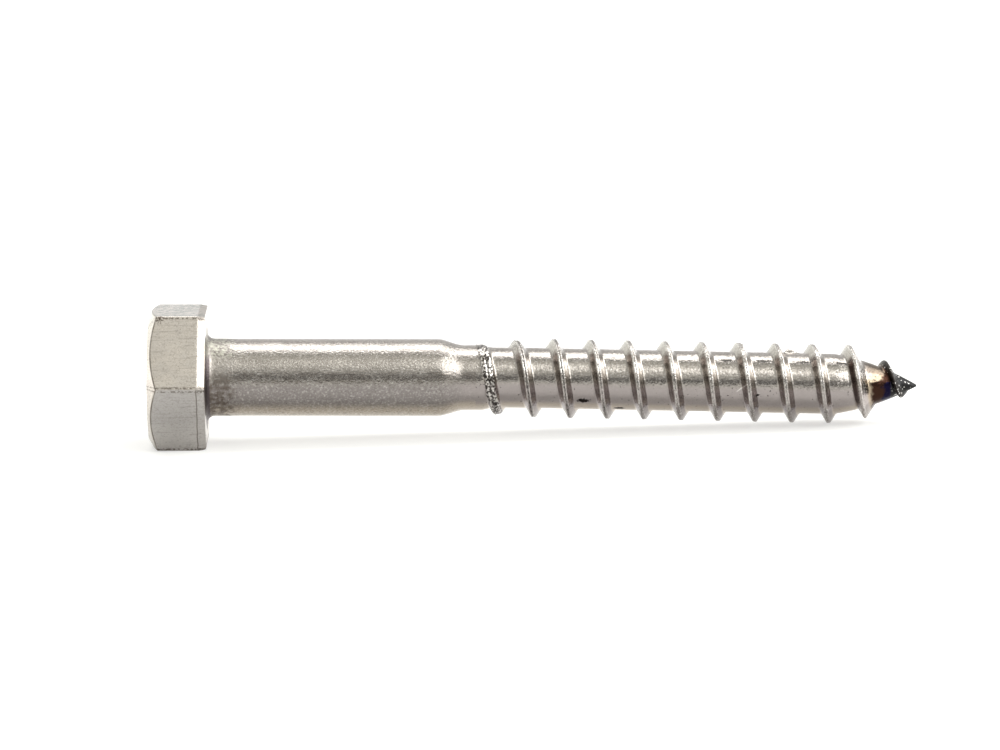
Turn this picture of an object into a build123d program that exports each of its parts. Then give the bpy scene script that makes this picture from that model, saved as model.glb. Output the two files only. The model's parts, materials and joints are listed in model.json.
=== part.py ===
from build123d import *
from math import atan2, ceil, cos, floor, pi, radians, sin, tan
import os

# Hex-head lag screw, lying as it comes to rest: on one flat of the head and on
# the crest of the thread. All sizes are in millimetres. The screw's own axis runs
# from the head towards the point, and distances along it start at the bearing face.

# Head
across_flats = 17.0
head_height = 7.25
cap_diameter = 15.5          # flat circle left by the bevel on the outer face
cap_bevel = 30.0             # degrees, from the outer face
rim_length = 1.05            # drawn-in band of the flats beside the bearing face
rim_slope = 9.0              # degrees, from the flats
rim_break = 0.25             # broken edge between the band and the bearing face
bar_length = 4.6             # two plain raised bars on the outer face
bar_width = 0.9
bar_height = 0.25
bar_spacing = 3.8

# Shank, neck and core
length = 89.0                # bearing face to the tip
shank_diameter = 9.7
shank_length = 28.9          # bearing face to the start of the neck
under_head_radius = 0.6
neck_length = 3.3
waist_diameter = 8.2
waist_length = 2.0
core_diameter = 7.6
core_step = 1.8              # run of the step from the waist down to the core

# Thread
thread_diameter = 10.0
pitch = 4.63
flank_angle = 28.0           # degrees, each flank from the plane across the axis
crest_width = 0.44
thread_start = 34.3          # where the ridge rises from the waist, straight up
run_in = 7.0                 # length over which it reaches its full height
bite = 0.2                   # depth of the ridge's foot inside the core

# Point
core_point = 10.4            # length of the tapered core
crest_point = 8.4            # length of the tapered crest
point_fullness = 0.58        # 0 is a straight cone, 1 a full ogive
point_cones = 3              # cones that round the core's point
tip_diameter = 0.3
ridge_stop = 0.6             # the ridge ends this far behind the tip

sections_per_loft = 9        # profiles that carry the ridge round half a turn


def pointed(distance, radius, taper):
    """Radius at a distance along the screw, with its convex taper to the tip."""
    along = max(0.0, 1 - (length - distance) / taper)
    above_tip = radius - tip_diameter / 2
    return tip_diameter / 2 + above_tip * (1 - along) * (1 + point_fullness * along)


def core_radius(distance):
    return pointed(distance, core_diameter / 2, core_point)


def crest_radius(distance):
    return pointed(distance, thread_diameter / 2, crest_point)


def cut_back(distance):
    """How much lower than the full crest the ridge still is during its run-in."""
    rise = sin(min(1.0, (distance - thread_start) / run_in) * pi / 2)
    return (1 - rise) * (thread_diameter - waist_diameter) / 2


# Rest: the lower flat's end at the rim and the last full crest that faces down
# both touch the floor, so the axis drops a little towards the point.
full_turns = floor((length - crest_point - thread_start) / pitch - 0.5)
last_crest = thread_start + (full_turns + 0.5) * pitch
drop = (across_flats - thread_diameter) / 2
tilt = atan2(drop, last_crest + rim_length)
bearing_height = across_flats / 2 * cos(tilt) - rim_length * sin(tilt)

# The origin is on the floor, halfway between the head's outer end and the tip.
head_end = -head_height * cos(tilt) - cap_diameter / 2 * sin(tilt)
bearing_x = -(head_end + length * cos(tilt)) / 2

forward = Vector(cos(tilt), 0, -sin(tilt))
upward = Vector(sin(tilt), 0, cos(tilt))
bearing_centre = Vector(bearing_x, 0, bearing_height)
screw_axis = Axis(bearing_centre, forward)
across = Plane(bearing_centre, x_dir=(0, 1, 0), z_dir=forward)
lengthwise = Plane(bearing_centre, x_dir=forward, z_dir=forward.cross(upward))


def ridge_section(turns):
    """Plane through the axis, turned clockwise with the thread as seen from the head."""
    outward = upward * cos(2 * pi * turns) - Vector(0, 1, 0) * sin(2 * pi * turns)
    foot = bearing_centre + forward * (thread_start + turns * pitch)
    return Plane(foot, x_dir=forward, z_dir=forward.cross(outward))


# The thread's ridge: V profiles along the helix, lofted half a turn at a time. The
# foot follows the core and the crest the point. In the run-in the V is cut off flat.
with BuildPart() as ridge:
    ridge_turns = (length - ridge_stop - thread_start) / pitch
    for stretch in range(ceil(2 * ridge_turns)):
        first = stretch / 2
        last = min(first + 0.5, ridge_turns)
        for step in range(sections_per_loft):
            turns = first + (last - first) * step / (sections_per_loft - 1)
            distance = thread_start + turns * pitch
            foot = max(core_radius(distance) - bite, bite / 2)
            crest = crest_radius(distance) - cut_back(distance)
            slope = tan(radians(flank_angle))
            crest_half = crest_width / 2 + cut_back(distance) * slope
            foot_half = crest_half + (crest - foot) * slope
            with BuildSketch(ridge_section(turns)):
                with BuildLine():
                    Polyline(
                        (-foot_half, foot),
                        (-crest_half, crest),
                        (crest_half, crest),
                        (foot_half, foot),
                        close=True,
                    )
                make_face()
        loft()

with BuildPart() as lag_screw:
    # Hexagon with one flat down, bevelled outside and drawn in at the bearing side
    with BuildSketch(across.offset(-rim_length)) as hexagon:
        RegularPolygon(across_flats / 2, 6, major_radius=False)
    extrude(amount=rim_length - head_height)
    extrude(hexagon.sketch, amount=rim_length, taper=rim_slope)
    corner_radius = across_flats / 2 / cos(pi / 6)
    bevel_run = (corner_radius - cap_diameter / 2) * tan(radians(cap_bevel))
    with BuildSketch(lengthwise):
        with BuildLine():
            Polyline(
                (0, 0),
                (-head_height, 0),
                (-head_height, cap_diameter / 2),
                (bevel_run - head_height, corner_radius),
                (0, corner_radius),
                close=True,
            )
        make_face()
    revolve(axis=screw_axis, mode=Mode.INTERSECT)
    chamfer(lag_screw.edges().group_by(screw_axis)[-1], length=rim_break)

    # Two plain raised bars on the outer face
    with BuildSketch(across.offset(-head_height)):
        with Locations((0, bar_spacing / 2), (0, -bar_spacing / 2)):
            SlotOverall(bar_length, bar_width)
    extrude(amount=-bar_height)

    # Shank, S-shaped neck, waist, core and point in one turned profile
    neck_end = shank_length + neck_length
    waist_end = neck_end + waist_length
    point_start = length - core_point
    point_steps = [point_start + core_point * cone / point_cones for cone in range(point_cones + 1)]
    with BuildSketch(lengthwise):
        with BuildLine():
            Polyline((0, 0), (0, shank_diameter / 2), (shank_length, shank_diameter / 2))
            Spline(
                (shank_length, shank_diameter / 2),
                (neck_end, waist_diameter / 2),
                tangents=((1, 0), (1, 0)),
            )
            Polyline(
                (neck_end, waist_diameter / 2),
                (waist_end, waist_diameter / 2),
                (waist_end + core_step, core_diameter / 2),
                (point_start, core_diameter / 2),
            )
            Polyline(*[(distance, core_radius(distance)) for distance in point_steps])
            Polyline((length, tip_diameter / 2), (length, 0), (0, 0))
        make_face()
    revolve(axis=screw_axis)

    # Fillet where the shank meets the bearing face
    root_edges = lag_screw.edges().filter_by(GeomType.CIRCLE)
    fillet(root_edges.sort_by_distance(bearing_centre)[0], radius=under_head_radius)

    add(ridge.part)

os.makedirs("parts", exist_ok=True)
lag_screw.part.label = "lag_screw"
export_step(lag_screw.part, "parts/lag_screw.step")
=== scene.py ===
import json
import math

import bpy
from mathutils import Matrix, Vector, noise


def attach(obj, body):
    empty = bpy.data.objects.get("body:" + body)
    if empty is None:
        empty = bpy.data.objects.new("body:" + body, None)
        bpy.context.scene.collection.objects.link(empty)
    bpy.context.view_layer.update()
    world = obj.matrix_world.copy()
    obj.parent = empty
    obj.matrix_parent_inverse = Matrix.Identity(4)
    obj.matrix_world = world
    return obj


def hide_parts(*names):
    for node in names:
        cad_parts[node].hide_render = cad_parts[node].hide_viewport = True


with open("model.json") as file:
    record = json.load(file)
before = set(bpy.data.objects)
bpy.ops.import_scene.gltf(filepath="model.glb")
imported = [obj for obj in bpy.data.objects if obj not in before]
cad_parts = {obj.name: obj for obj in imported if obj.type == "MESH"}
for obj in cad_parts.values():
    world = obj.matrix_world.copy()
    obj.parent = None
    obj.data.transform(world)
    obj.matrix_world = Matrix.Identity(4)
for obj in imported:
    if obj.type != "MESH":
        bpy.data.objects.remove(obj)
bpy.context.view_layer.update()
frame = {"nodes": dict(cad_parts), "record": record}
mounts = {mount["name"]: mount for mount in frame["record"]["mounts"]}
print("frame loaded:", ", ".join(frame["nodes"]))

mm = 0.001
bearingCentre = Vector(mounts["under_head"]["pos_m"])
forward = Vector(mounts["under_head"]["axis"]).normalized()
nearSide = Vector((0, -1, 0))
upward = nearSide.cross(forward).normalized()
sixth = math.pi / 3         # the angle of one side of the hexagon
halfSixth = math.pi / 6


# lengths in millimetres run from the bearing face, angles turn from the top towards the near side

head = {
    "acrossFlats": 17.0,
    "height": 7.25,
    "capRadius": 7.75,
    "capBevel": 30.0,
    "capRound": 0.12,
    "cornerRound": 0.22,
    "rimLength": 0.95,      # the band beside the bearing face that draws in a little
    "rimSlope": 9.0,
    "rimRound": 0.28,
    "rimStray": 0.07,       # how far the edge of that band strays, and how often
    "rimStrays": 14,
    "barLength": 4.6,
    "barWidth": 0.9,
    "barHeight": 0.25,
    "barSpacing": 3.8,
    "barInside": 0.12,      # the bar's side slopes from this far inside its edge to this far outside
    "barOutside": 0.08,
    "leanUp": 0.45,         # degrees by which the head sits out of square on the shank
    "leanNear": 1.3,
    "leanLength": 2.5,      # the stretch of shank that takes up the lean
}

body = {
    "length": 89.0,
    "shankRadius": mounts["shank"]["dims"]["r_mm"],
    "underHeadRadius": 1.0,
    "neckStart": 28.9,
    "neckEnd": 32.2,
    "waistRadius": 4.1,
    "waistEnd": 34.2,
    "coreStart": 36.0,
    "coreRadius": 3.8,
    "corePoint": 10.4,
    "fullness": 0.58,
    "tipRadius": 0.12,
    "bow": 0.41,            # how far the screw stands above a straight line from head to tip
    "bendAt": 39.0,
    "bendRound": 0.12,
}

thread = {
    "start": 34.2,
    "pitch": 4.63,
    "crestRadius": 5.0,
    "crestHalf": 0.17,
    "crestPoint": 8.4,
    "crestFillet": 0.24,
    "rootFillet": 0.11,
    "flankAngle": 32.0,
    "runIn": 7.0,           # the length in which the ridge reaches its full height
    "runInAhead": 0.07,     # the share of that length it is ahead at its start
    "sharpenFrom": 76.0,    # where the crest begins to narrow, where it stops, and by what share
    "sharpenTo": 84.0,
    "sharpening": 0.8,
}

mesh = {
    "around": 204,          # vertices round the screw, a multiple of six
    "bunching": 0.13,       # how much closer together they are near the head's corners
    "bevelSteps": 6,
    "flatSteps": 24,
    "bandSteps": 5,
    "roundSteps": 5,
    "faceRings": 46,
    "bearingRings": 5,
    "filletRings": 7,
    "shankRings": 40,
    "shankStep": 0.7,
    "neckRings": 16,
    "perPitch": 26,
    "gridStart": 33.6,      # where the plain rings give way to the helical grid
    "wrapRadius": 4.5,      # the even cylinder on which surface marks are laid out
}


def smoothMax(a, b, width):
    # a rounded version of max, for fillets between two forms
    gap = max(width - abs(a - b), 0.0) / width
    return max(a, b) + gap * gap * width / 4


def ease(value, low, high):
    t = min(1.0, max(0.0, (value - low) / (high - low)))
    return t * t * (3 - 2 * t)


def bowLift(along):
    bend = body["bendAt"]
    beforeBend, pastBend = -along / bend, (along - body["length"]) / (body["length"] - bend)
    return -body["bow"] * smoothMax(beforeBend, pastBend, body["bendRound"])


def place(along, angle, radius):
    # sections stay square to the bowed line, and the head leans on the shank
    lean = 1 - ease(along, 0.0, head["leanLength"])
    leanUp = lean * math.tan(math.radians(head["leanUp"]))
    leanNear = lean * math.tan(math.radians(head["leanNear"]))
    slope = bowLift(along + 0.5) - bowLift(along - 0.5) + leanUp
    up, near = radius * math.cos(angle), radius * math.sin(angle)
    ahead = along - up * slope - near * leanNear
    above = up + bowLift(along) + along * leanUp
    nearer = near + along * leanNear
    return bearingCentre + (forward * ahead + upward * above + nearSide * nearer) * mm


def onWrap(along, angle):
    return (along, math.sin(angle) * mesh["wrapRadius"], math.cos(angle) * mesh["wrapRadius"])


def pointed(along, radius, taper):
    t = max(0.0, 1 - (body["length"] - along) / taper)
    above = radius - body["tipRadius"]
    return body["tipRadius"] + above * (1 - t) * (1 + body["fullness"] * t)


def plainRadius(along):
    # shank, S-shaped neck, waist, core and point
    if along < body["underHeadRadius"]:
        r = body["underHeadRadius"]
        return body["shankRadius"] + r - math.sqrt(max(0.0, r * r - (r - along) ** 2))
    if along < body["neckEnd"]:
        t = ease(along, body["neckStart"], body["neckEnd"])
        return body["shankRadius"] + t * (body["waistRadius"] - body["shankRadius"])
    if along < body["coreStart"]:
        t = ease(along, body["waistEnd"], body["coreStart"])
        return body["waistRadius"] + t * (body["coreRadius"] - body["waistRadius"])
    return pointed(along, body["coreRadius"], body["corePoint"])


def threadedRadius(along, turns, offCrest):
    # offCrest is the distance along the screw from the crest line
    base = plainRadius(along)
    crestAlong = thread["start"] + turns * thread["pitch"]
    full = pointed(crestAlong, thread["crestRadius"], thread["crestPoint"])
    grown = (crestAlong - thread["start"]) / thread["runIn"] + thread["runInAhead"]
    rise = math.sin(min(1.0, max(0.0, grown)) * math.pi / 2)
    crest = full - (1 - rise) * (thread["crestRadius"] - body["waistRadius"])
    slope = 1 / math.tan(math.radians(thread["flankAngle"]))
    sharp = ease(crestAlong, thread["sharpenFrom"], thread["sharpenTo"])
    half = thread["crestHalf"] * (1 - thread["sharpening"] * sharp)
    flank = full - max(0.0, abs(offCrest) - half) * slope
    top = -smoothMax(-flank, -crest, thread["crestFillet"])
    return smoothMax(base, top, thread["rootFillet"])


def hexRadius(angle):
    # polar form of a hexagon with rounded corners, one flat down
    half = head["acrossFlats"] / 2
    rounding = head["cornerRound"]
    off = (angle + halfSixth) % sixth - halfSixth
    centreOut = (half - rounding) / math.cos(halfSixth)
    tangentAngle = math.atan2((half - rounding) * math.tan(halfSixth), half)
    if abs(off) <= tangentAngle:
        return half / math.cos(off)
    toCorner = halfSixth - abs(off)
    inside = max(0.0, rounding ** 2 - (centreOut * math.sin(toCorner)) ** 2)
    return centreOut * math.cos(toCorner) + math.sqrt(inside)


def cornerAngles():
    # the same number of steps in each sixth, closer together near the corners
    angles = []
    perSide = mesh["around"] // 6
    for side in range(6):
        for step in range(perSide):
            t = step / perSide
            bunched = t - mesh["bunching"] * math.sin(2 * math.pi * t)
            angles.append((side + bunched) * math.pi / 3 + halfSixth)
    return angles


def uniformAngles():
    return [halfSixth + 2 * math.pi * i / mesh["around"] for i in range(mesh["around"])]


# one watertight mesh: head, shank and neck as rings, the thread as a helical grid

points = []
faces = []
wrapped = []
# what a point far from every edge tells the materials: distances in millimetres, ridge and flank as shares
farFromAll = {
    "ridge": 0.0,
    "leftFlank": 0.0,
    "fromCrest": 2.3,
    "turns": 0.0,
    "fromCorner": 5.0,
    "fromBevel": 5.0,
    "fromRim": -5.0,
}
marks = {name: [] for name in ("along", *farFromAll)}


def addPoint(position, along, angle, **known):
    points.append(position)
    wrapped.extend(onWrap(along, angle))
    for name, value in {"along": along, **farFromAll, **known}.items():
        marks[name].append(value)
    return len(points) - 1


def joinRings(ringA, ringB, material):
    count = len(ringA)
    for i in range(count):
        j = (i + 1) % count
        faces.append(((ringA[i], ringA[j], ringB[j], ringB[i]), material))


def wobble(along, angle, size, seed):
    # smooth noise on the surface, the same on both sides of the seam
    reach = thread["crestRadius"]
    spot = Vector((along / size, math.cos(angle) * reach / size, math.sin(angle) * reach / size + seed))
    return noise.noise(spot)


def headProfile(angle):
    # (length along, radius) from the edge of the outer face to the rim at the bearing face
    hexR = hexRadius(angle)
    slope = math.tan(math.radians(head["capBevel"]))
    bevelEnd = -head["height"] + (hexR - head["capRadius"]) * slope
    soft = head["capRound"]
    line = []
    for step in range(mesh["bevelSteps"] + 1):
        t = step / mesh["bevelSteps"]
        along = -head["height"] + (bevelEnd - soft * 0.5 + head["height"]) * t
        line.append((along, head["capRadius"] + (along + head["height"]) / slope))
    line.append((bevelEnd + soft * 0.25, hexR - soft * 0.12))
    flatStart = bevelEnd + soft
    stray = noise.noise(Vector((angle * head["rimStrays"], 2.6, 0)))
    flatEnd = -head["rimLength"] - head["rimStray"] * stray
    for step in range(mesh["flatSteps"] + 1):
        line.append((flatStart + (flatEnd - flatStart) * step / mesh["flatSteps"], hexR))
    tilt = math.radians(head["rimSlope"])
    rounding = head["rimRound"]
    bandEnd = -rounding * (1 - math.sin(tilt))
    for step in range(1, mesh["bandSteps"] + 1):
        along = flatEnd + (bandEnd - flatEnd) * step / mesh["bandSteps"]
        line.append((along, rimBand(hexR, along)))
    centre = rimBand(hexR, bandEnd) - rounding * math.cos(tilt)
    for step in range(1, mesh["roundSteps"] + 1):
        turn = tilt + (math.pi / 2 - tilt) * step / mesh["roundSteps"]
        line.append((-rounding * (1 - math.sin(turn)), centre + rounding * math.cos(turn)))
    return line


def rimBand(hexR, along):
    # radius of the band that draws in towards the bearing face
    drop = (head["rimLength"] + along) * math.tan(math.radians(head["rimSlope"]))
    return hexR * (1 - max(0.0, drop) / (head["acrossFlats"] / 2))


def buildHead():
    angles = cornerAngles()
    profiles = [headProfile(angle) for angle in angles]
    # where the bevel meets the flat in each profile, and where the flat meets the rim band
    bevelLine = mesh["bevelSteps"] + 1
    rimLine = bevelLine + mesh["flatSteps"] + 1
    # how far each profile lies from the nearest corner
    corner = head["acrossFlats"] / 2 / math.cos(halfSixth)
    offsets = [abs((angle + sixth) % sixth - halfSixth) * corner for angle in angles]
    rings = []
    for k in range(len(profiles[0])):
        ring = []
        for angle, profile, offset in zip(angles, profiles, offsets):
            along, radius = profile[k]
            here = {
                "fromCorner": offset,
                "fromBevel": along - profile[bevelLine][0],
                "fromRim": along - profile[rimLine][0],
            }
            ring.append(addPoint(place(along, angle, radius), along, angle, **here))
        rings.append(ring)
    for near, far in zip(rings, rings[1:]):
        joinRings(near, far, 0)
    closeFace(rings[0], angles)
    return rings[-1]


def closeFace(edge, angles):
    # the outer face: rings closing on the axis, with the raised bars lifted out of it
    outer = -head["height"]
    ring = edge
    for k in range(1, mesh["faceRings"]):
        radius = head["capRadius"] * (1 - k / mesh["faceRings"])
        inner = []
        for angle in angles:
            lift = barLift(radius * math.cos(angle), radius * math.sin(angle))
            inner.append(addPoint(place(outer - lift, angle, radius), outer, angle))
        joinRings(inner, ring, 0)
        ring = inner
    centre = addPoint(place(outer, 0, 0), outer, 0)
    for i, point in enumerate(ring):
        faces.append(((centre, ring[(i + 1) % len(ring)], point), 0))


def barLift(up, side):
    # height of the outer face over its plane at a spot
    total = 0.0
    edge = head["barWidth"] / 2
    halfRun = head["barLength"] / 2 - edge
    for centre in (-head["barSpacing"] / 2, head["barSpacing"] / 2):
        past = max(0.0, abs(side) - halfRun)
        distance = math.hypot(up - centre, past)
        total += head["barHeight"] * (1 - ease(distance, edge - head["barInside"], edge + head["barOutside"]))
    return total


def ringStations():
    # where the rings lie along the fillet, the shank and the neck
    fillet, steps = body["underHeadRadius"], mesh["filletRings"]
    stations = [fillet * (1 - math.cos(math.pi / 2 * k / steps)) for k in range(1, steps + 1)]
    stations += [fillet + mesh["shankStep"] * k for k in range(1, mesh["shankRings"] + 1)]
    last, steps = stations[-1], mesh["neckRings"]
    stations += [last + (mesh["gridStart"] - last) * k / steps for k in range(1, steps + 1)]
    return stations


def buildShank(rim):
    angles = uniformAngles()
    hexAngles = cornerAngles()
    inner = body["shankRadius"] + body["underHeadRadius"]
    ring = rim
    for k in range(1, mesh["bearingRings"] + 1):
        # the bearing face narrows from the rim's hexagon to the fillet's circle
        t = k / mesh["bearingRings"]
        fresh = []
        for hexAngle, angle in zip(hexAngles, angles):
            rimRadius = headProfile(hexAngle)[-1][1]
            mixed = hexAngle + (angle - hexAngle) * t
            radius = rimRadius + (inner - rimRadius) * t
            fresh.append(addPoint(place(0, mixed, radius), 0, mixed, fromBevel=-radius))
        joinRings(ring, fresh, 0)
        ring = fresh
    for along in ringStations():
        fresh = []
        for angle in angles:
            radius = plainRadius(along) + shankWaves(along, angle)
            fresh.append(addPoint(place(along, angle, radius), along, angle))
        joinRings(ring, fresh, 1)
        ring = fresh
    return ring


# drawn wire is never quite true, the neck is rolled rough, and so is the core: height, size, seed
waves = {
    "wire": (0.012, 5.0, 3.1),
    "neck": (0.03, 1.1, 8.4),
    "core": (0.010, 2.2, 5.5),
    "coreGrain": (0.006, 0.8, 2.5),
    "fadeIn": (0.6, 3.0),
    "fadeOut": 1.5,
    "neckFrom": (28.0, 29.5),
}


def wave(layer, along, angle, share=1.0):
    height, size, seed = waves[layer]
    return height * share * wobble(along, angle, size, seed)


def shankWaves(along, angle):
    end = mesh["gridStart"]
    fade = ease(along, *waves["fadeIn"]) * (1 - ease(along, end - waves["fadeOut"], end))
    neck = ease(along, *waves["neckFrom"])
    return fade * (wave("wire", along, angle) + wave("neck", along, angle, neck))


def pitchColumns():
    # offsets from the crest line over one pitch, closest together on the crest
    half = thread["pitch"] / 2
    depth = thread["crestRadius"] - body["coreRadius"]
    foot = thread["crestHalf"] + depth * math.tan(math.radians(thread["flankAngle"]))
    side = [0.035, 0.105, 0.175, 0.25, 0.32]
    side += [0.32 + (foot - 0.30) * k / 4 for k in range(1, 5)]
    side += [foot + 0.2, foot + 0.4]
    rest = mesh["perPitch"] // 2 - len(side)
    side += [foot + 0.4 + (half - foot - 0.4) * (k + 0.5) / (rest + 0.5) for k in range(rest)]
    return [-v for v in reversed(side)] + side


wear = {
    "seamDepth": 0.03,
    "seamHalf": 0.08,
    "seamDrift": 0.05,
    "firstSeamDepth": 0.12,         # the seam gapes where the thread starts
    "firstSeamHalf": 0.06,
    "lipHeight": 0.02,
    "firstLipHeight": 0.07,
    "rippleHeight": 0.03,
    "early": (0.3, 4.5),            # turns in which the seam closes up
    "first": (0.8, 1.6),            # turns in which the torn start ends
    "ridgeStart": (-0.10, 0.05),    # turns in which the ridge appears
    "ridgeEnd": (2.5, 0.8),         # lengths before the tip in which its wear dies out
    # turns, offset, height
    "burrs": ((7.03, 0.2, 0.34), (6.62, 0.28, 0.22), (9.52, -0.18, 0.24), (2.1, 0.1, 0.12)),
    "burrSize": (0.16, 0.12),
    "dent": (1.0, 0.16, 0.22),      # turns, reach, depth
    "crumb": (73.1, -5.0, 0.42),    # along, degrees, height
    "crumbSize": (0.75, 0.125),     # along, and radians around
}


def crestWear(turns, off):
    # the rolled crest: two lips with a lap seam between them, ragged at first, finer later
    early = 1 - ease(turns, *wear["early"])
    first = 1 - ease(turns, *wear["first"])
    run = turns * 2 * math.pi * thread["crestRadius"]
    drift = wear["seamDrift"] * noise.noise(Vector((run / 3.0, 1.7, 0)))
    ragged = noise.noise(Vector((run / 0.5, 3.7, 0)))
    depth = wear["seamDepth"] + wear["firstSeamDepth"] * early
    halfSeam = wear["seamHalf"] + wear["firstSeamHalf"] * early
    seam = depth * max(0.0, 1 - abs(off + drift) / halfSeam) * (1.0 + 0.7 * ragged)
    lipHeight = wear["lipHeight"] + wear["firstLipHeight"] * (early + first) / 2
    lips = lipHeight * noise.noise(Vector((run / 0.42, off / 0.18, 9.2)))
    lips += wear["rippleHeight"] * noise.noise(Vector((run / 2.4, off / 0.5, 4.4)))
    dentTurns, reach, dentDepth = wear["dent"]
    lips -= dentDepth * (1 - ease(abs(turns - dentTurns), 0.0, reach))
    near = 1 - ease(abs(off), 0.25, 0.5 + 0.25 * early)
    burrLength, burrWidth = wear["burrSize"]
    for burrTurns, burrOff, height in wear["burrs"]:
        ahead = (turns - burrTurns) * 2 * math.pi * thread["crestRadius"]
        lips += height * max(0.0, 1 - math.hypot(ahead / burrLength, (off - burrOff) / burrWidth))
    return near * (lips - max(0.0, seam))


def crumb(along, angle):
    # a crumb of metal stuck on the core
    start, degrees, height = wear["crumb"]
    length, width = wear["crumbSize"]
    apart = math.hypot((along - start) / length, (angle - math.radians(degrees)) / width)
    broken = 1 + 0.5 * noise.noise(Vector((along * 3, angle * 12, 1.3)))
    return height * ease(1.3 - apart, 0.0, 0.9) * broken


def buildThread(startRing):
    # each row of the grid follows the crest round, and runs on into the same row of the next turn
    angles = uniformAngles()
    around = len(angles)
    offsets = pitchColumns()
    columns = len(offsets)
    tip = addPoint(place(body["length"], 0, 0), body["length"], 0)
    firstTurn = -2
    lastTurn = int((body["length"] - thread["start"]) / thread["pitch"]) + 2
    grid = {}
    for turn in range(firstTurn, lastTurn + 1):
        for c, off in enumerate(offsets):
            row = (turn - firstTurn) * columns + c
            for i, angle in enumerate(angles):
                turns = turn + angle / (2 * math.pi)
                along = thread["start"] + turns * thread["pitch"] + off
                if along <= mesh["gridStart"] + 1e-6:
                    grid[row, i] = startRing[i]
                elif along >= body["length"] - 1e-6:
                    grid[row, i] = tip
                else:
                    grid[row, i] = threadPoint(turns, along, angle, off)
    rows = (lastTurn - firstTurn + 1) * columns
    for row in range(rows - 1):
        for i in range(around):
            nextRow, nextI = (row, i + 1) if i + 1 < around else (row + columns, 0)
            if (nextRow + 1, nextI) not in grid:
                continue
            corners = [grid[row, i], grid[nextRow, nextI], grid[nextRow + 1, nextI], grid[row + 1, i]]
            # quads that lie on the start ring or at the tip lose their repeated corners
            distinct = [v for k, v in enumerate(corners) if v != corners[k - 1]]
            if len(set(distinct)) >= 3:
                faces.append((tuple(distinct), 2))


def threadPoint(turns, along, angle, off):
    radius = threadedRadius(along, turns, off)
    base = plainRadius(along)
    ridge = ease(radius - base, 0.0, 0.9)
    endFrom, endTo = (body["length"] - before for before in wear["ridgeEnd"])
    present = ease(turns, *wear["ridgeStart"]) * (1 - ease(along, endFrom, endTo))
    radius += present * ease(radius - base, 0.0, 0.35) * crestWear(turns, off)
    inGrid = ease(along, mesh["gridStart"], mesh["gridStart"] + 1) * ease(body["length"] - along, 0.3, 2.0)
    radius += inGrid * (wave("core", along, angle) + wave("coreGrain", along, angle))
    radius += crumb(along, (angle + math.pi) % (2 * math.pi) - math.pi)
    left = ease(-off, 0.2, 0.4) * ease(radius - base, 0.0, 0.2)
    here = {"ridge": ridge, "leftFlank": left, "fromCrest": abs(off), "turns": turns}
    return addPoint(place(along, angle, radius), along, angle, **here)


buildThread(buildShank(buildHead()))
print("mesh built:", len(points), "points,", len(faces), "faces")


def makeScrew():
    data = bpy.data.meshes.new("lagScrew")
    data.from_pydata(points, [], [corners for corners, _ in faces])
    data.polygons.foreach_set("material_index", [material for _, material in faces])
    for name, values in marks.items():
        layer = data.attributes.new(name, "FLOAT", "POINT")
        layer.data.foreach_set("value", values)
    layer = data.attributes.new("onScrew", "FLOAT_VECTOR", "POINT")
    layer.data.foreach_set("vector", wrapped)
    data.update()
    data.validate()
    data.shade_smooth()
    screw = bpy.data.objects.new("lagScrew", data)
    bpy.context.collection.objects.link(screw)
    return screw


screw = makeScrew()
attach(screw, "root")
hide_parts("lag_screw")


# materials: noise is laid out in millimetres from the bearing centre, marks along and round the screw

finish = {
    "headSteel": (0.735, 0.675, 0.61, 1),
    "topPatch": (0.33, 0.345, 0.31, 1),
    "headPatch": (0.67, 0.62, 0.57, 1),
    "lowFacet": (0.64, 0.61, 0.60, 1),
    "lowEdge": (0.77, 0.735, 0.72, 1),
    "steel": (0.39, 0.360, 0.328, 1),
    "paleSteel": (0.49, 0.457, 0.418, 1),
    "brightSteel": (0.80, 0.775, 0.74, 1),
    "dullSteel": (0.24, 0.218, 0.20, 1),
    "mauveSteel": (0.32, 0.288, 0.288, 1),
    "shadeSteel": (0.15, 0.115, 0.10, 1),
    "lilacSteel": (0.46, 0.412, 0.412, 1),
    "tanSteel": (0.62, 0.54, 0.44, 1),
    "oliveSteel": (0.44, 0.43, 0.365, 1),
    "brownSteel": (0.13, 0.10, 0.078, 1),
    "scale": (0.115, 0.095, 0.10, 1),
    "grime": (0.022, 0.018, 0.016, 1),
    "straw": (0.42, 0.31, 0.17, 1),
    "copper": (0.038, 0.014, 0.009, 1),
    "violet": (0.009, 0.008, 0.032, 1),
    "slate": (0.030, 0.030, 0.029, 1),
    "headRoughness": 0.16,
    "shankRoughness": 0.08,
    "threadRoughness": 0.09,
}

flaws = {
    "headFleck": (-5.6, 31.5, 0.8, 0.40),       # along, degrees, length, width
    "chips": ((47.1, 126, 1.5, 0.8), (51.7, 150, 1.4, 0.6), (68.9, 105, 0.5, 0.3)),
    "dotRows": ((65.0, 36), (69.6, 36), (74.8, 37), (79.4, 36)),
    "dotRowSize": (1.8, 0.45),
    "scratch": (66.75, 93, 2.6, 0.14),
    # heat tints: from, to, strength
    "tints": (("straw", 82.2, 84.0, 0.6), ("copper", 84.2, 84.9, 0.97), ("violet", 85.8, 86.3, 0.97)),
}


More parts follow.
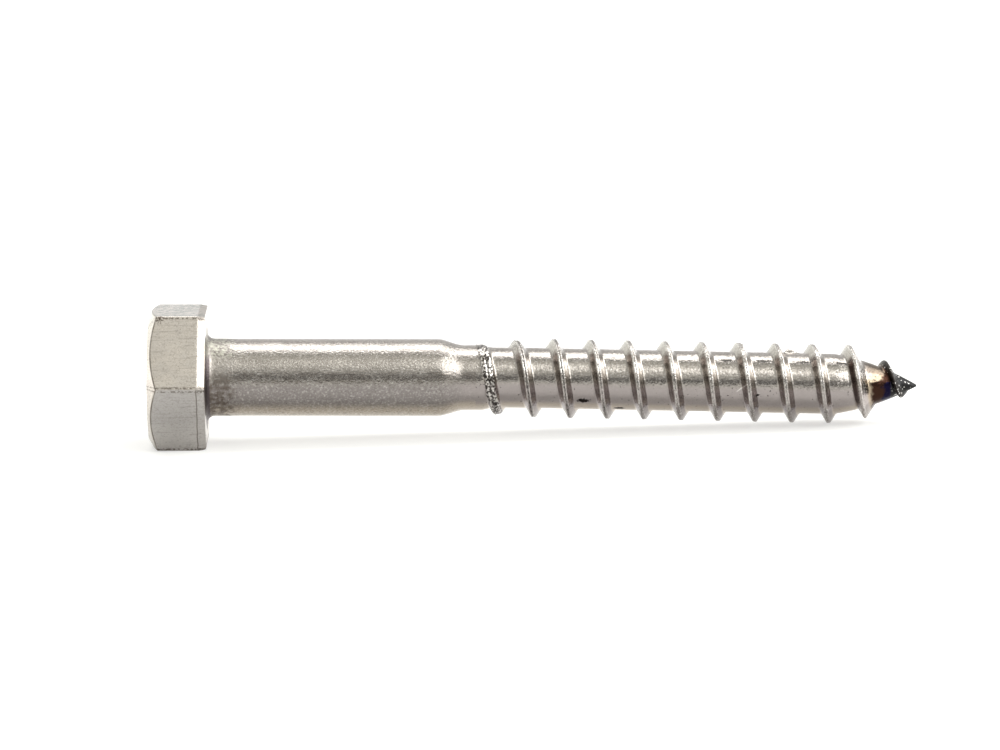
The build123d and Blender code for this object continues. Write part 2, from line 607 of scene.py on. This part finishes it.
class Tree:
    # short forms for making shader nodes and linking them
    def __init__(self, owner):
        self.nodes = owner.node_tree.nodes
        self.links = owner.node_tree.links

    def add(self, kind, inputs=None, **settings):
        node = self.nodes.new(kind)
        for name, value in settings.items():
            setattr(node, name, value)
        for name, value in (inputs or {}).items():
            self.feed(node.inputs[name], value)
        return node

    def feed(self, socket, value):
        if isinstance(value, bpy.types.NodeSocket):
            self.links.new(value, socket)
        else:
            socket.default_value = value

    def math(self, operation, *values):
        return self.add("ShaderNodeMath", dict(enumerate(values)), operation=operation).outputs[0]

    def chain(self, operation, first, *others):
        for other in others:
            first = self.math(operation, first, other)
        return first

    def times(self, *values):
        return self.chain("MULTIPLY", *values)

    def plus(self, *values):
        return self.chain("ADD", *values)

    def most(self, *values):
        return self.chain("MAXIMUM", *values)

    def vector(self, operation, *values):
        return self.add("ShaderNodeVectorMath", dict(enumerate(values)), operation=operation)

    def spread(self, value, low, high, outLow=0.0, outHigh=1.0):
        ends = {"From Min": low, "From Max": high, "To Min": outLow, "To Max": outHigh}
        node = self.add("ShaderNodeMapRange", {"Value": value, **ends}, interpolation_type="SMOOTHSTEP")
        return node.outputs["Result"]

    def blend(self, factor, a, b):
        return self.add("ShaderNodeMix", {0: factor, 6: a, 7: b}, data_type="RGBA").outputs[2]

    def tint(self, colour, tone, *masks):
        # one of the finish's colours, where all the masks hold
        return self.blend(self.times(*masks), colour, finish[tone])

    def noise(self, along, around, detail, roughness, offset):
        # the surface's own coordinates in millimetres, scaled to give grain
        coordinates = self.add("ShaderNodeTexCoord").outputs["Object"]
        shifted = self.vector("SUBTRACT", coordinates, tuple(bearingCentre)).outputs[0]
        scaling = {"Vector": shifted, "Scale": (along / mm, around / mm, around / mm)}
        mapped = self.add("ShaderNodeMapping", scaling, vector_type="POINT").outputs[0]
        look = {"Scale": 1.0, "Detail": detail, "Roughness": roughness}
        node = self.add("ShaderNodeTexNoise", {"Vector": mapped, **look}, noise_dimensions="4D")
        node.inputs["W"].default_value = offset
        return node.outputs["Fac"]

    def mark(self, name):
        return self.add("ShaderNodeAttribute", attribute_name=name).outputs["Fac"]

    def onScrew(self):
        return self.add("ShaderNodeAttribute", attribute_name="onScrew").outputs["Vector"]

    def height(self, low, high):
        # a mask by how high round the screw a point lies: 1 at the top, -1 underneath
        parts = self.add("ShaderNodeSeparateXYZ", {"Vector": self.onScrew()})
        return self.spread(parts.outputs["Z"], low * mesh["wrapRadius"], high * mesh["wrapRadius"])

    def spot(self, along, degrees, length, width, ragged=None, slant=0.0, rough=0.8):
        # a mark centred at a distance along the screw and an angle from the top, its edge broken by noise
        moved = self.vector("SUBTRACT", self.onScrew(), onWrap(along, math.radians(degrees))).outputs[0]
        turning = {"Vector": moved, "Angle": math.radians(slant)}
        turned = self.add("ShaderNodeVectorRotate", turning, rotation_type="Y_AXIS").outputs[0]
        shrunk = self.vector("MULTIPLY", turned, (2 / length, 2 / width, 2 / width)).outputs[0]
        distance = self.vector("LENGTH", shrunk).outputs["Value"]
        if ragged is not None:
            distance = self.plus(distance, self.times(self.math("SUBTRACT", ragged, 0.5), rough * 2))
        return self.spread(distance, 1.1, 0.85)

    def grainy(self, colour, along, around, strength, offset):
        # a fine light and dark speckle over a colour
        speckle = self.noise(along, around, 2.0, 0.6, offset)
        darker = self.tint(colour, "dullSteel", self.spread(speckle, 0.5, 0.3), strength)
        return self.tint(darker, "brightSteel", self.spread(speckle, 0.52, 0.72), strength)

    def metal(self, colour, roughness, bump, distance):
        relief = {"Strength": 1.0, "Distance": distance * mm, "Height": bump}
        normal = self.add("ShaderNodeBump", relief).outputs[0]
        look = {"Base Color": colour, "Metallic": 1.0, "Roughness": roughness, "Normal": normal}
        self.output("ShaderNodeOutputMaterial", self.add("ShaderNodeBsdfPrincipled", look))

    def output(self, kind, shader):
        self.links.new(shader.outputs[0], self.add(kind).inputs[0])


def newMaterial(name):
    material = bpy.data.materials.new(name)
    material.use_nodes = True
    material.node_tree.nodes.clear()
    return material, Tree(material)


def headSteel():
    material, tree = newMaterial("headSteel")
    along = tree.mark("along")
    fromCorner = tree.mark("fromCorner")
    fromBevel = tree.mark("fromBevel")
    fromRim = tree.mark("fromRim")
    mottle = tree.noise(0.5, 0.7, 4.0, 0.6, 1.0)
    striations = tree.noise(0.3, 5.0, 3.0, 0.6, 2.0)
    specks = tree.noise(4.0, 4.0, 2.0, 0.5, 3.0)
    colour = tree.blend(tree.spread(mottle, 0.3, 0.7), finish["headSteel"], finish["headPatch"])
    # the six flats only, without the bevel and the outer face
    flats = tree.times(tree.spread(fromBevel, -0.02, 0.05), tree.spread(along, -7.24, -7.15))
    # painted light: the lower flats take a darker mauve copy of the head's steel, painted paler towards the
    # lowest edge
    lower = tree.times(tree.height(0.02, -0.02), flats)
    lowTone = tree.blend(tree.height(-0.45, -0.75), finish["lowFacet"], finish["lowEdge"])
    colour = tree.blend(lower, colour, lowTone)
    colour = tree.tint(colour, "dullSteel", tree.spread(striations, 0.5, 0.3), 0.3)
    colour = tree.grainy(colour, 5.0, 6.0, 0.35, 3.5)
    # dark broken lines beside the corners, along the bevel and where the rim band starts, the last heavier on
    # the lower flats
    corner = tree.times(tree.spread(fromCorner, 0.40, 0.28), tree.spread(fromCorner, 0.08, 0.16))
    corner = tree.times(corner, tree.spread(specks, 0.56, 0.44), 0.75)
    bevelLine = tree.spread(tree.math("ABSOLUTE", fromBevel), 0.13, 0.05)
    bevelLine = tree.times(bevelLine, tree.spread(mottle, 0.75, 0.35, 0.3, 0.8))
    rimLine = tree.spread(tree.math("ABSOLUTE", tree.plus(fromRim, 0.06)), 0.10, 0.04)
    rimLine = tree.times(rimLine, tree.plus(tree.times(lower, 0.55), 0.12))
    colour = tree.tint(colour, "brownSteel", tree.most(corner, bevelLine, rimLine))
    # the top facet is mottled grey and green
    patchy = tree.noise(1.3, 1.5, 3.0, 0.7, 3.8)
    topFacet = tree.height(0.862, 0.872)
    colour = tree.tint(colour, "topPatch", flats, topFacet, tree.spread(patchy, 0.40, 0.60), 0.9)
    # brown along the lowest edge, and a dark fleck at the upper outer corner
    lowest = tree.times(flats, tree.height(-0.82, -0.865))
    colour = tree.tint(colour, "brownSteel", lowest, tree.spread(specks, 0.7, 0.4), 0.28)
    colour = tree.tint(colour, "brownSteel", tree.spot(*flaws["headFleck"], specks, rough=3.4), 0.8)
    # the rim band is duller on top and where it turns each corner
    band = tree.times(tree.spread(fromRim, 0.0, 0.06), tree.spread(along, -0.01, -0.06))
    dullBand = tree.most(topFacet, tree.spread(tree.plus(fromCorner, specks), 1.0, 0.75))
    dullBand = tree.times(band, dullBand)
    colour = tree.tint(colour, "dullSteel", dullBand, 0.45)
    # dark scale on the bearing face round the shank, also a painted dark reflection of the shank
    collar = tree.times(tree.spread(fromBevel, -7.0, -6.2), tree.spread(fromBevel, -1.0, -2.0))
    colour = tree.tint(colour, "scale", collar, 0.75)
    bump = tree.plus(striations, tree.times(specks, 0.6), tree.times(dullBand, specks, 2.0))
    smooth = finish["headRoughness"]
    roughness = tree.spread(striations, 0.3, 0.7, smooth - 0.04, smooth + 0.06)
    roughness = tree.plus(roughness, tree.times(tree.most(dullBand, collar), 0.2))
    tree.metal(colour, roughness, bump, 0.02)
    return material


def shankSteel():
    material, tree = newMaterial("shankSteel")
    along = tree.mark("along")
    mottle = tree.noise(0.35, 0.9, 4.0, 0.6, 4.0)
    patches = tree.noise(0.9, 1.6, 3.0, 0.6, 4.5)
    grain = tree.noise(3.2, 4.0, 3.0, 0.6, 5.0)
    streaks = tree.noise(0.3, 8.0, 2.0, 0.5, 5.5)
    blotches = tree.noise(1.4, 1.6, 3.0, 0.6, 5.8)
    flecks = tree.noise(2.4, 2.6, 2.0, 0.6, 5.4)
    pits = tree.noise(5.0, 5.0, 1.0, 0.5, 5.9)
    towardsThread = tree.spread(along, 28.5, 33.2)
    colour = tree.blend(tree.spread(mottle, 0.3, 0.7), finish["steel"], finish["paleSteel"])
    # painted reflection: the lower half is tinted mauve, turning lilac towards the thread, and tan at the
    # bottom
    lowerSteel = tree.blend(towardsThread, finish["mauveSteel"], finish["lilacSteel"])
    colour = tree.blend(tree.times(tree.height(0.1, -0.15), 0.8), colour, lowerSteel)
    colour = tree.tint(colour, "tanSteel", tree.height(-0.5, -0.75), 0.8)
    colour = tree.grainy(colour, 4.5, 5.5, tree.spread(towardsThread, 0.0, 1.0, 0.38, 0.2), 5.2)
    coarse = tree.times(tree.height(0.5, 0.25), tree.spread(towardsThread, 0.0, 1.0, 0.5, 0.0))
    colour = tree.grainy(colour, 3.4, 3.8, coarse, 5.3)
    # a patchy brown band along the side, a painted tint of the dark horizon it reflects there, then pits
    sideBand = tree.times(tree.height(-0.04, 0.06), tree.height(0.36, 0.26))
    colour = tree.tint(colour, "brownSteel", sideBand, tree.spread(patches, 0.62, 0.42), 0.3)
    colour = tree.tint(colour, "grime", tree.spread(pits, 0.70, 0.75), 0.8)
    # the end under the head: pale and rough on top, dark and brown lower down
    underHead = tree.spread(tree.plus(along, tree.times(blotches, 3.0)), 5.8, 3.4)
    scale = tree.times(tree.spread(blotches, 0.66, 0.40), tree.height(0.35, -0.2))
    colour = tree.tint(colour, "brownSteel", underHead, scale, 0.8)
    colour = tree.tint(colour, "scale", tree.spread(along, 0.52, 0.42), tree.height(0.80, 0.72), 0.95)
    mottled = tree.blend(tree.spread(flecks, 0.42, 0.6), finish["dullSteel"], finish["oliveSteel"])
    colour = tree.blend(tree.times(underHead, tree.height(0.55, 0.75)), colour, mottled)
    smooth = finish["shankRoughness"]
    roughness = tree.spread(grain, 0.3, 0.7, smooth - 0.02, smooth + 0.06)
    roughness = tree.plus(roughness, tree.times(underHead, 0.26))
    bump = tree.plus(grain, tree.times(streaks, 0.2), tree.times(underHead, flecks, 1.6))
    tree.metal(colour, roughness, bump, 0.055)
    return material


def threadSteel():
    material, tree = newMaterial("threadSteel")
    along = tree.mark("along")
    fromCrest = tree.mark("fromCrest")
    turns = tree.mark("turns")
    ridge = tree.mark("ridge")
    left = tree.mark("leftFlank")
    mottle = tree.noise(0.6, 0.9, 4.0, 0.6, 6.0)
    grain = tree.noise(3.0, 3.0, 3.0, 0.6, 7.0)
    rolled = tree.noise(2.6, 0.35, 3.0, 0.6, 7.5)       # fine lines left round the core by rolling
    colour = tree.blend(tree.spread(mottle, 0.3, 0.7), finish["steel"], finish["paleSteel"])
    colour = tree.grainy(colour, 4.5, 4.5, 0.45, 7.2)
    # painted shade: the flank that faces the head is darker, most of all high on the screw
    colour = tree.tint(colour, "dullSteel", left, 0.25)
    colour = tree.tint(colour, "shadeSteel", left, ridge, tree.height(0.90, 0.84), 0.55)
    deep = tree.times(tree.height(0.83, 0.78), tree.height(0.52, 0.62))
    colour = tree.tint(colour, "shadeSteel", left, ridge, deep, 0.7)
    # painted highlight high on the side that faces the point
    paintedHighlight = tree.times(tree.math("SUBTRACT", 1.0, left), tree.spread(ridge, 0.05, 0.3))
    colour = tree.tint(colour, "brightSteel", paintedHighlight, tree.height(0.30, 0.40), tree.height(0.68, 0.58))
    # painted reflection: lilac on the lower half, tan at the bottom
    colour = tree.tint(colour, "lilacSteel", tree.height(0.1, -0.15), 0.8)
    colour = tree.tint(colour, "tanSteel", tree.height(-0.6, -0.8), 0.7)
    # painted reflection: the lowest part of the ridge is a darker mauve than the core
    colour = tree.tint(colour, "mauveSteel", tree.spread(ridge, 0.15, 0.4), tree.height(-0.46, -0.62), 0.8)
    # the broken lap seam on the crest, dark between lips painted bright as glints
    early = tree.spread(turns, 5.0, 0.5)
    first = tree.spread(turns, 1.15, 0.9)
    ragged = tree.noise(6.0, 6.0, 1.0, 0.5, 8.0)
    onCrest = tree.times(ridge, tree.spread(fromCrest, 0.36, 0.24))
    colour = tree.tint(colour, "brightSteel", onCrest, tree.spread(ragged, 0.50, 0.58), 0.8)
    seamWidth = tree.times(tree.math("SUBTRACT", ragged, 0.40), tree.plus(tree.times(early, 0.45), 0.22))
    seam = tree.times(tree.math("LESS_THAN", fromCrest, seamWidth), ridge)
    # the first turn is torn: dots of black and bright metal across the whole ridge
    shreds = tree.noise(3.6, 3.2, 1.0, 0.6, 8.2)
    wide = tree.times(first, tree.spread(ridge, 0.004, 0.06), tree.spread(fromCrest, 0.85, 0.6))
    colour = tree.tint(colour, "brightSteel", wide, tree.spread(shreds, 0.52, 0.60))
    torn = tree.times(wide, tree.spread(shreds, 0.49, 0.45))
    colour = tree.tint(colour, "grime", tree.most(seam, torn), 0.88)
    # heat tint towards the point: straw, copper, violet and dark slate, with the last ridge and its glints
    blotches = tree.noise(1.2, 1.6, 3.0, 0.6, 8.6)
    heat = tree.plus(along, tree.times(tree.math("SUBTRACT", blotches, 0.5), 1.8))
    heat = tree.plus(heat, tree.times(tree.height(0.5, 0.2), 1.3))
    for tone, low, high, strength in flaws["tints"]:
        onCore = tree.spread(ridge, 0.2, 0.9, strength, strength * 0.15)
        colour = tree.tint(colour, tone, tree.spread(heat, low, high), onCore)
    colour = tree.tint(colour, "slate", tree.spread(along, 85.5, 85.9, 0.0, 0.95))
    lastRidge = tree.times(tree.spread(along, 83.9, 84.3), tree.spread(ridge, 0.05, 0.3))
    colour = tree.tint(colour, "grime", lastRidge, 0.92)
    burnt = tree.most(lastRidge, tree.spread(along, 85.6, 86.2))
    glints = tree.spread(tree.noise(4.4, 4.4, 0.0, 0.5, 8.7), 0.68, 0.74)
    colour = tree.tint(colour, "brightSteel", burnt, glints, 0.9)
    # brown on top of the core before the point, and in the crook of the last full turn
    topCore = tree.times(tree.height(0.60, 0.72), tree.spread(ridge, 0.5, 0.2))
    beforePoint = tree.times(tree.spread(along, 81.6, 83.0), tree.spread(along, 85.0, 84.4))
    colour = tree.tint(colour, "brownSteel", beforePoint, topCore, 0.8)
    crook = tree.times(tree.spread(along, 78.6, 79.6), tree.spread(along, 82.2, 81.6), left)
    colour = tree.tint(colour, "copper", crook, tree.height(0.88, 0.7), 0.8)
    # chips, short rows of dots, pits and one bright scratch
    chips = [tree.spot(*chip, ragged) for chip in flaws["chips"]]
    for start, degrees in flaws["dotRows"]:
        chips.append(tree.times(tree.spot(start, degrees, *flaws["dotRowSize"], ragged, rough=2.2), 0.8))
    pits = tree.noise(4.0, 4.0, 1.0, 0.5, 8.9)
    chips = tree.most(*chips, tree.times(tree.spread(pits, 0.70, 0.75), 0.8))
    colour = tree.tint(colour, "grime", chips)
    colour = tree.tint(colour, "brightSteel", tree.spot(*flaws["scratch"], slant=45.0))
    smooth = finish["threadRoughness"]
    roughness = tree.spread(grain, 0.3, 0.7, smooth - 0.04, smooth + 0.08)
    roughness = tree.plus(roughness, tree.times(onCrest, 0.12))
    roughness = tree.most(roughness, tree.times(tree.most(chips, tree.times(burnt, 0.6)), 0.6))
    root = tree.math("SUBTRACT", 1.0, ridge)
    bump = tree.plus(grain, tree.times(rolled, root, 0.5), tree.times(ragged, onCrest, 0.8))
    bump = tree.math("SUBTRACT", bump, tree.times(chips, 1.5))
    tree.metal(colour, roughness, bump, 0.05)
    return material


for build in (headSteel, shankSteel, threadSteel):
    screw.data.materials.append(build())
print("materials made")


# floor, lamps and camera

studio = {
    "floorSize": 24.0,
    "floorColour": (0.54, 0.54, 0.52, 1),
    "floorPatch": (0.56, 0.56, 0.54, 1),
    "cameraLift": 0.52,         # how much whiter the floor shows than it is lit
    # painted light in reflections: the floor glows, and from one depth to another the glow goes from one level
    # to another
    "paintedMirrorGlow": ((-0.006, 0.002, 0.03, 0.45), (0.002, 0.03, 0.0, 0.6), (0.03, 0.09, 0.0, 1.1)),
    "endTone": (0.6, 0.591, 0.573, 1),
    "windowGlow": (1.38, 1.4, 1.34, 1),
    "warmth": 0.06,             # how much the room yellows, and the heights where that sets in and ends
    "warmStart": (10, 40),
    "warmEnd": (70, 100),
}

# how bright the room is at each height: 0 the front horizon, 90 overhead, below it negative
roomTones = (
    (-180, 1.0), (-150, 1.0), (-93, 0.7), (-49, 0.58), (-17, 0.5), (-11, 0.38), (-3, 0.17),
    (7, 0.14), (15, 0.36), (26, 0.8), (50, 0.74), (68, 0.9), (80, 0.95), (85, 0.36),
    (95, 0.36), (99, 1.1), (121, 1.1), (127, 0.75), (157, 0.85), (168, 0.95), (180, 1.1),
)

# lamps in metres, each aimed at a place on the screw's axis or beside it
backTurn = math.radians(108.5)      # over the screw from the front horizon
backDistance = 0.42
middle = Vector((0, 0, 0.0085))
softboxes = {
    "backSoftbox": {
        "size": (0.46, 0.20),
        "radiance": 2.5,
        "position": middle + Vector((0, -math.cos(backTurn), math.sin(backTurn))) * backDistance,
        "target": middle,
    },
    "endSoftbox": {
        "size": (0.5, 0.24),
        "radiance": 2.4,
        "position": (0.55, 0.12, 0.14),
        "target": (-0.04, 0, 0.0085),
    },
    "sideSoftbox": {
        "size": (0.95, 0.46),
        "radiance": 2.4,
        "position": (0.54, -0.22, 0.43),
        "target": (-0.02, 0, 0.0085),
    },
    "rimSoftbox": {
        "size": (0.15, 0.2),
        "radiance": 1.7,
        "position": (0.108, -0.355, 0.44),
        "target": (-0.045, -0.008, 0.0085),
    },
    "flankSoftbox": {
        "size": (0.3, 0.26),
        "radiance": 2.6,
        "position": (0.40, 0.09, 0.42),
        "target": (0.015, 0, 0.0085),
    },
}

camera = {
    "lens": 269.8,
    "sensorWidth": 36,
    "distance": 0.94,
    "azimuth": -0.93,
    "elevation": 9.6,
    "roll": -1.665,
    "target": (-3.964, 0.0, 7.54),
}


def floorMaterial():
    material, tree = newMaterial("paleFloor")
    colour = tree.blend(tree.noise(0.01, 0.01, 2.0, 0.5, 8.0), studio["floorColour"], studio["floorPatch"])
    look = {"Base Color": colour, "Roughness": 0.95, "Specular IOR Level": 0.1}
    lit = tree.add("ShaderNodeBsdfPrincipled", look)
    coordinates = tree.add("ShaderNodeTexCoord")
    depth = tree.add("ShaderNodeSeparateXYZ", {"Vector": coordinates.outputs["Object"]}).outputs["Y"]
    path = tree.add("ShaderNodeLightPath").outputs
    # painted light: the floor glows in reflections by depth, and evenly for the camera
    mirrored = tree.most(path["Is Glossy Ray"], path["Is Transmission Ray"])
    lift = tree.most(*(tree.spread(depth, *step) for step in studio["paintedMirrorGlow"]))
    lift = tree.most(tree.times(mirrored, lift), tree.times(path["Is Camera Ray"], studio["cameraLift"]))
    glow = tree.add("ShaderNodeEmission", {"Color": (1, 1, 1, 1), "Strength": lift})
    both = tree.add("ShaderNodeAddShader", {0: lit.outputs[0], 1: glow.outputs[0]})
    tree.output("ShaderNodeOutputMaterial", both)
    return material


def makeFloor():
    data = bpy.data.meshes.new("floor")
    half = studio["floorSize"] / 2
    corners = [(-half, -half, 0), (half, -half, 0), (half, half, 0), (-half, half, 0)]
    data.from_pydata(corners, [], [(0, 1, 2, 3)])
    floor = bpy.data.objects.new("floor", data)
    bpy.context.collection.objects.link(floor)
    data.materials.append(floorMaterial())


def makeWorld():
    world = bpy.data.worlds.new("room")
    bpy.context.scene.world = world
    world.use_nodes = True
    world.node_tree.nodes.clear()
    tree = Tree(world)
    coordinates = tree.add("ShaderNodeTexCoord")
    parts = tree.add("ShaderNodeSeparateXYZ", {"Vector": coordinates.outputs["Generated"]}).outputs
    # the angle in the plane across the screw, and one even tone towards its two ends
    angle = tree.math("ARCTAN2", parts["Z"], tree.times(parts["Y"], -1.0))
    share = tree.add("ShaderNodeMapRange", {"Value": angle, "From Min": -math.pi, "From Max": math.pi})
    ramp = tree.add("ShaderNodeValToRGB", {"Fac": share.outputs["Result"]})
    elements = ramp.color_ramp.elements
    elements.remove(elements[1])
    for index, (degrees, tone) in enumerate(roomTones):
        position = (degrees + 180) / 360
        element = elements[0] if index == 0 else elements.new(position)
        element.position = position
        warm = studio["warmth"] * ease(degrees, *studio["warmStart"]) * (1 - ease(degrees, *studio["warmEnd"]))
        element.color = (tone, tone * 0.995, tone * (0.985 - warm), 1)
    ends = tree.spread(tree.math("ABSOLUTE", parts["X"]), 0.5, 0.85)
    colour = tree.blend(ends, ramp.outputs["Color"], studio["endTone"])
    # a window glow low behind the head end
    glow = tree.times(tree.spread(parts["X"], -0.12, -0.28), tree.spread(parts["Y"], 0.1, 0.3))
    glow = tree.times(glow, tree.spread(parts["Z"], 0.45, 0.30))
    colour = tree.blend(glow, colour, studio["windowGlow"])
    tree.output("ShaderNodeOutputWorld", tree.add("ShaderNodeBackground", {"Color": colour, "Strength": 1.0}))


def aim(thing, position, target, roll=0.0):
    look = (Vector(target) - Vector(position)).normalized()
    turn = look.to_track_quat("-Z", "Y").to_matrix()
    turn = turn @ Matrix.Rotation(math.radians(roll), 3, "Z")
    thing.matrix_world = Matrix.Translation(position) @ turn.to_4x4()


def makeSoftbox(name, size, radiance, position, target):
    data = bpy.data.lights.new(name, "AREA")
    data.shape = "RECTANGLE"
    data.size, data.size_y = size
    data.energy = radiance * math.pi * size[0] * size[1]
    lamp = bpy.data.objects.new(name, data)
    bpy.context.collection.objects.link(lamp)
    aim(lamp, position, target)


def makeCamera():
    data = bpy.data.cameras.new("camera")
    data.lens = camera["lens"]
    data.sensor_width = camera["sensorWidth"]
    eye = bpy.data.objects.new("camera", data)
    bpy.context.collection.objects.link(eye)
    target = Vector(camera["target"]) * mm
    azimuth, elevation = math.radians(camera["azimuth"]), math.radians(camera["elevation"])
    level = math.cos(elevation)
    out = Vector((math.sin(azimuth) * level, -math.cos(azimuth) * level, math.sin(elevation)))
    aim(eye, target + out * camera["distance"], target, camera["roll"])
    bpy.context.scene.camera = eye


makeFloor()
makeWorld()
for name, softbox in softboxes.items():
    makeSoftbox(name, **softbox)
makeCamera()
view = bpy.context.scene.view_settings
view.view_transform = "Standard"
print("floor, lamps and camera placed")
